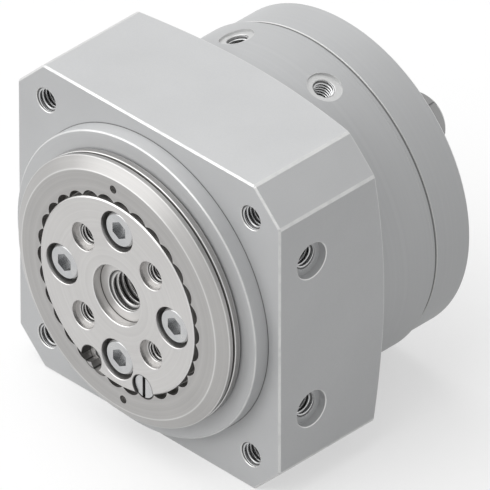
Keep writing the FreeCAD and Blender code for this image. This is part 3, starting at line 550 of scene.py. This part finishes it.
def ground_metal(name, dark, light, rough):
    """Ground finish: very fine marks round the swing axis."""
    material, graph = new_material(name)
    place = graph.millimetres()
    fine = graph.bands(graph.part(place, "Y"), per_mm=9.0, detail=3.0)
    cloud = graph.noise(place, per_mm=0.15)
    graph.surface(
        Base_Color=graph.mix_colours(0.5 * cloud + 0.5 * fine, dark, light),
        Metallic=1.0,
        Roughness=rough + 0.08 * fine,
        Normal=graph.bump(fine, micrometres=0.8),
    )
    return material


def spring_steel():
    """Dark phosphate coat with a fine crystal grain."""
    material, graph = new_material("spring_steel")
    place = graph.millimetres()
    grain = graph.noise(place, per_mm=7.0, detail=3.0)
    cloud = graph.noise(place, per_mm=0.4)
    graph.surface(
        Base_Color=graph.mix_colours(cloud, grey(0.11), grey(0.20)),
        Metallic=0.7,
        Roughness=0.42 + 0.2 * grain,
        Normal=graph.bump(grain, micrometres=2.0),
    )
    return material


def vane_metal():
    """Milled aluminium with straight cutter marks along the swing axis."""
    material, graph = new_material("vane_metal")
    place = graph.millimetres()
    marks = graph.noise(graph.stretched(place, (1.0, 0.04, 1.0)), per_mm=3.0)
    cloud = graph.noise(place, per_mm=0.12)
    graph.surface(
        Base_Color=graph.mix_colours(0.6 * marks + 0.4 * cloud, grey(0.62, -0.005), grey(0.76, -0.004)),
        Metallic=1.0,
        Roughness=0.28 + 0.16 * marks,
        Normal=graph.bump(marks, micrometres=2.0),
    )
    return material


def bush_bronze():
    """Sintered bronze with small dark pores."""
    material, graph = new_material("bush_bronze")
    place = graph.millimetres()
    solid = graph.ramp(graph.noise(place, per_mm=4.0, detail=3.0), 0.34, 0.46)
    cloud = graph.noise(place, per_mm=0.3)
    body = graph.mix_colours(cloud, (0.58, 0.38, 0.17, 1.0), (0.72, 0.50, 0.26, 1.0))
    graph.surface(
        Base_Color=graph.mix_colours(solid, (0.28, 0.17, 0.08, 1.0), body),
        Metallic=1.0,
        Roughness=0.50 - 0.16 * solid,
        Normal=graph.bump(solid, micrometres=4.0),
    )
    return material


def cage_plastic():
    """Natural polyamide, slightly uneven in colour."""
    material, graph = new_material("cage_plastic")
    place = graph.millimetres()
    cloud = graph.noise(place, per_mm=0.2, detail=3.0)
    grain = graph.noise(place, per_mm=6.0)
    graph.surface(
        Base_Color=graph.mix_colours(cloud, (0.74, 0.69, 0.55, 1.0), (0.83, 0.79, 0.68, 1.0)),
        Roughness=0.40 + 0.14 * grain,
        Normal=graph.bump(grain, micrometres=2.0),
    )
    return material


def seal_rubber():
    """Black nitrile rubber with a dull bloom."""
    material, graph = new_material("seal_rubber")
    place = graph.millimetres()
    bloom = graph.noise(place, per_mm=0.4, detail=3.0)
    grain = graph.noise(place, per_mm=8.0)
    graph.surface(
        Base_Color=graph.mix_colours(bloom, grey(0.018), grey(0.045)),
        Roughness=0.50 + 0.20 * bloom,
        Normal=graph.bump(grain, micrometres=3.0),
    )
    return material


def cut_thread(name, dark, light):
    """Tapped thread: dark at the foot as oily and painted shade, lighter at the crest as a painted
    highlight, with marks from the tap.
    """
    material, graph = new_material(name)
    marks = graph.noise(graph.millimetres(), per_mm=3.0)
    crest = graph.node("ShaderNodeAttribute", {"attribute_name": "crest"}, output="Fac")
    # Painted highlight on the crest and painted shade at the foot, from the crest attribute
    crest_highlight = graph.ramp(crest, 0.15, 0.95) * (0.8 + 0.4 * marks)
    graph.surface(
        Base_Color=graph.mix_colours(crest_highlight, dark, light),
        Metallic=0.9,
        Roughness=0.40 - 0.20 * crest_highlight + 0.10 * marks,
        Normal=graph.bump(marks, micrometres=1.5),
    )
    return material


FINISHES = {
    "anodised_block": anodised_block(),
    "anodised_round": turned_metal(
        "anodised_round", tones=(grey(0.43, -0.006), grey(0.52, -0.004)),
        metallic=0.30, rough=0.38, depth=2.0,
        edges=ROUND_EDGES, corners=ROUND_CORNERS, fresh_cuts=port_spots,
    ),
    "flange_steel": turned_metal(
        "flange_steel", tones=(grey(0.45, 0.008), grey(0.69, 0.010)),
        metallic=0.90, rough=0.24, depth=1.6,
        edges=FLANGE_EDGES, corners=FLANGE_CORNERS, rim_oil_and_shade=lock_rim_oil_and_shade,
    ),
    "nut_steel": turned_metal(
        "nut_steel", tones=(grey(0.32, 0.006), grey(0.51, 0.008)),
        metallic=0.90, rough=0.26, depth=1.6,
        edges=NUT_EDGES, corners=NUT_CORNERS, rim_oil_and_shade=lock_rim_oil_and_shade,
    ),
    "zinc_screws": zinc_screws(),
    "ground_steel": ground_metal("ground_steel", dark=grey(0.24), light=grey(0.34), rough=0.18),
    "hardened_pins": ground_metal("hardened_pins", dark=grey(0.54), light=grey(0.66), rough=0.22),
    "bearing_steel": ground_metal("bearing_steel", dark=grey(0.68), light=grey(0.80), rough=0.09),
    "spring_steel": spring_steel(),
    "vane_metal": vane_metal(),
    "bush_bronze": bush_bronze(),
    "cage_plastic": cage_plastic(),
    "seal_rubber": seal_rubber(),
}
# Thread colours: the dark one is painted shade at the foot, the light one a painted highlight at the crest
BLOCK_THREADS = cut_thread("block_threads", dark=grey(0.06), light=grey(0.66, -0.004))
FLANGE_THREADS = cut_thread("flange_threads", dark=grey(0.06), light=grey(0.62, 0.008))


def dress_solids():
    """Gives every solid the finish of its slot."""
    for subpart in frame["record"]["subparts"]:
        solid = frame["nodes"][subpart["node"]]
        solid.data.materials.clear()
        solid.data.materials.append(FINISHES[subpart["material_slot"]])


# Threads

def thread_tree():
    """Node tree that sets one helical ridge in every hole of a mesh of hole mouths."""
    tree = bpy.data.node_groups.new("tapped_thread", "GeometryNodeTree")
    tree.interface.new_socket("Holes", in_out="INPUT", socket_type="NodeSocketGeometry")
    for name in ("Radius", "Pitch", "Start", "Length"):
        tree.interface.new_socket(name, in_out="INPUT", socket_type="NodeSocketFloat")
    tree.interface.new_socket("Finish", in_out="INPUT", socket_type="NodeSocketMaterial")
    tree.interface.new_socket("Threads", in_out="OUTPUT", socket_type="NodeSocketGeometry")
    graph = Graph(tree)
    holes = graph.node("NodeGroupInput")
    radius, pitch = holes.other("Radius"), holes.other("Pitch")
    start, length = holes.other("Start"), holes.other("Length")
    turns = length / pitch

    # A helix sunk a little into the wall of the bore
    path_radius = radius + pitch * RIDGE_SINK
    path = graph.node("GeometryNodeCurveSpiral", None, {
        "Resolution": STEPS_PER_TURN, "Rotations": turns, "Height": length,
        "Start Radius": path_radius, "End Radius": path_radius, "Reverse": True,
    })
    upright = graph.node("GeometryNodeSetCurveNormal", {"mode": "Z_UP"}, {"Curve": path})

    # The ridge's section, with an attribute that goes from 0 at its foot to 1 at its crest
    height = pitch * (RIDGE_HEIGHT + RIDGE_SINK)
    ridge = graph.node("GeometryNodeCurvePrimitiveQuadrilateral", {"mode": "TRAPEZOID"}, {
        "Height": height, "Bottom Width": pitch * RIDGE_FOOT, "Top Width": pitch * RIDGE_CREST,
        "Offset": 0.0,
    })
    lift = graph.node("ShaderNodeCombineXYZ", None, {"Y": height / 2})
    footed = graph.node("GeometryNodeTransform", None, {"Geometry": ridge, "Translation": lift})
    y = graph.part(graph.node("GeometryNodeInputPosition"), "Y")
    graded = graph.node(
        "GeometryNodeStoreNamedAttribute", {"data_type": "FLOAT", "domain": "POINT"},
        {"Geometry": footed, "Name": "crest", "Value": y / height},
    )
    inward = graph.node("GeometryNodeTransform", None, {
        "Geometry": graded, "Rotation": (0.0, 0.0, QUARTER_TURN),
    })

    # The section swept along the helix, running out at both ends
    along = graph.node("GeometryNodeSplineParameter")
    from_end = graph.smaller(along, 1 - along) * turns / RUN_OUT_TURNS
    swept = graph.node("GeometryNodeCurveToMesh", None, {
        "Curve": upright, "Profile Curve": inward, "Fill Caps": True,
        "Scale": graph.smaller(1.0, graph.larger(from_end, RUN_OUT_END)),
    })
    depth = graph.node("ShaderNodeCombineXYZ", None, {"Z": start})
    thread = graph.node("GeometryNodeTransform", None, {"Geometry": swept, "Translation": depth})

    # One thread in each hole, smooth along its flanks and sharp at its edges
    facing = graph.node("GeometryNodeInputNamedAttribute", {"data_type": "FLOAT_VECTOR"}, {"Name": "facing"})
    turn = graph.node("FunctionNodeAlignRotationToVector", {"axis": "Z"}, {"Vector": facing})
    placed = graph.node("GeometryNodeInstanceOnPoints", None, {
        "Points": holes, "Instance": thread, "Rotation": turn,
    })
    real = graph.node("GeometryNodeRealizeInstances", None, {"Geometry": placed})
    smooth = graph.node("GeometryNodeSetShadeSmooth", {"domain": "FACE"}, {"Geometry": real})
    angle = graph.node("GeometryNodeInputMeshEdgeAngle")
    edged = graph.node("GeometryNodeSetShadeSmooth", {"domain": "EDGE"}, {
        "Geometry": smooth, "Selection": graph.maths("GREATER_THAN", angle, SHARP_ANGLE),
        "Shade Smooth": False,
    })
    finished = graph.node("GeometryNodeSetMaterial", None, {
        "Geometry": edged, "Material": holes.other("Finish"),
    })
    graph.node("NodeGroupOutput", None, {"Threads": finished})
    return tree


def hole_mouths(name, mouths):
    """Mesh with a point at each hole's mouth and the direction into the hole."""
    mesh = bpy.data.meshes.new(name)
    mesh.from_pydata([[MM * value for value in place] for place, inward in mouths], [], [])
    facing = mesh.attributes.new("facing", "FLOAT_VECTOR", "POINT")
    for entry, (place, inward) in zip(facing.data, mouths):
        entry.vector = inward
    return mesh


def evaluated(mesh, tree, inputs):
    """Plain mesh that a node tree makes from a mesh, with its inputs set by their sockets."""
    carrier = bpy.data.objects.new(mesh.name + "_carrier", mesh)
    bpy.context.scene.collection.objects.link(carrier)
    modifier = carrier.modifiers.new("nodes", "NODES")
    modifier.node_group = tree
    for socket in tree.interface.items_tree:
        if socket.name in inputs:
            modifier[socket.identifier] = inputs[socket.name]
    bpy.context.view_layer.update()
    seen = carrier.evaluated_get(bpy.context.evaluated_depsgraph_get())
    result = bpy.data.meshes.new_from_object(seen)
    bpy.data.objects.remove(carrier)
    return result


def add_piece(name, mesh, body):
    piece = bpy.data.objects.new(name, mesh)
    bpy.context.scene.collection.objects.link(piece)
    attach(piece, body)


def add_threads(tree, name, body, slot, finish, thread, depths, mouths):
    """One piece with the cut threads of a set of equal holes."""
    start, end = depths
    inputs = {
        "Radius": thread["radius"] * MM, "Pitch": thread["pitch"] * MM, "Start": start * MM,
        "Length": (end - start) * MM, "Finish": finish,
    }
    mesh = evaluated(hole_mouths(name, mouths), tree, inputs)
    mesh.name = name
    add_piece(name, mesh, body)


def front_mouths():
    return [
        ((x * FRONT_HOLE, 0.0, z * FRONT_HOLE), INTO_FRONT)
        for x in BOTH_SIDES for z in BOTH_SIDES
    ]


def side_mouths():
    return [
        ((x * BLOCK_HALF, SIDE_HOLE_Y, z * SIDE_HOLE_Z), (-x, 0.0, 0.0))
        for x in BOTH_SIDES for z in BOTH_SIDES
    ]


def port_mouths():
    x = PORT_FLOOR_RADIUS * PORT_AXIS_X
    z = PORT_FLOOR_RADIUS * PORT_AXIS_Z
    return [
        ((side * x, PORT_Y, z), (-side * PORT_AXIS_X, 0.0, -PORT_AXIS_Z))
        for side in BOTH_SIDES
    ]


def flange_mouths():
    return [(polar(FLANGE_CIRCLE, degrees, FLANGE_FACE), INTO_FRONT) for degrees in FLANGE_DEGREES]


def centre_mouth():
    return [((0.0, FLANGE_FACE, 0.0), INTO_FRONT)]


def lock_mouth():
    return [(polar(LOCK_CIRCLE, LOCK_EMPTY_DEGREES, LOCK_FLOOR), INTO_FRONT)]


def cut_threads():
    """Threads of every tapped hole that can be looked into."""
    tree = thread_tree()
    block = ("housing", "anodised_block", BLOCK_THREADS)
    vane_housing = ("housing", "anodised_round", BLOCK_THREADS)
    flange = ("rotor", "flange_steel", FLANGE_THREADS)
    add_threads(tree, "front_threads", *block, M6_THREAD, FRONT_DEPTHS, front_mouths())
    add_threads(tree, "side_threads", *block, M6_THREAD, SIDE_DEPTHS, side_mouths())
    add_threads(tree, "port_threads", *vane_housing, M5_THREAD, PORT_DEPTHS, port_mouths())
    add_threads(tree, "flange_threads", *flange, M5_THREAD, FLANGE_DEPTHS, flange_mouths())
    add_threads(tree, "centre_thread", *flange, M10_THREAD, CENTRE_DEPTHS, centre_mouth())
    add_threads(tree, "lock_thread", *flange, M3_THREAD, LOCK_DEPTHS, lock_mouth())


# Studio

def seen_rays(graph):
    """1 for rays from the camera, mirrors and glass, 0 for light that only bounces."""
    camera = graph.node("ShaderNodeLightPath", output="Is Camera Ray")
    return graph.larger(camera, camera.other("Is Glossy Ray"), camera.other("Is Transmission Ray"))


def add_floor():
    """Pale paper under the part, which glows a little where it is seen and keeps the shadow."""
    mesh = bpy.data.meshes.new("floor")
    signs = ((-1, -1), (1, -1), (1, 1), (-1, 1))
    corners = [(x * FLOOR_REACH, y * FLOOR_REACH, BLOCK_LOW[2]) for x, y in signs]
    mesh.from_pydata(corners, [], [(0, 1, 2, 3)])
    floor = bpy.data.objects.new("floor", mesh)
    bpy.context.scene.collection.objects.link(floor)
    material, graph = new_material("floor_paper")
    seen = seen_rays(graph)
    graph.surface(
        Base_Color=graph.mix_colours(seen, FLOOR_BOUNCE, FLOOR_SEEN),
        Emission_Color=graph.mix_colours(seen, BLACK, FLOOR_GLOW),
        Emission_Strength=1.0,
        Roughness=0.9,
        Specular_IOR_Level=0.1,
    )
    mesh.materials.append(material)


def add_world():
    """White where it is seen or mirrored, softer as light."""
    world = bpy.data.worlds.new("studio")
    world.use_nodes = True
    graph = Graph(world.node_tree)
    sky = graph.node("ShaderNodeBackground", None, {
        "Color": WHITE, "Strength": AMBIENT + (1 - AMBIENT) * seen_rays(graph),
    })
    graph.node("ShaderNodeOutputWorld", None, {"Surface": sky})
    bpy.context.scene.world = world


def add_key_light():
    light = bpy.data.lights.new("key", "SUN")
    light.energy = KEY_STRENGTH
    light.angle = KEY_ANGLE
    lamp = bpy.data.objects.new("key", light)
    lamp.rotation_euler = KEY_TURN
    bpy.context.scene.collection.objects.link(lamp)


def add_camera():
    """Camera far out on the isometric line, aimed where the drawing's middle falls."""
    data = bpy.data.cameras.new("camera")
    data.lens = LENS_MM
    data.sensor_width = SENSOR_MM
    distance = VIEW_WIDTH * LENS_MM / SENSOR_MM
    data.clip_start = distance / CLIP_RATIO
    data.clip_end = distance * CLIP_RATIO
    camera = bpy.data.objects.new("camera", data)
    bpy.context.scene.collection.objects.link(camera)
    camera.rotation_euler = (QUARTER_TURN - CAMERA_ELEVATION, 0.0, CAMERA_AZIMUTH)
    right, up, back = camera.rotation_euler.to_matrix().col
    camera.location = right * AIM_RIGHT + up * AIM_UP + back * distance
    bpy.context.scene.camera = camera


dress_solids()
cut_threads()
add_floor()
add_world()
add_key_light()
add_camera()
bpy.context.scene.view_settings.view_transform = "Standard"
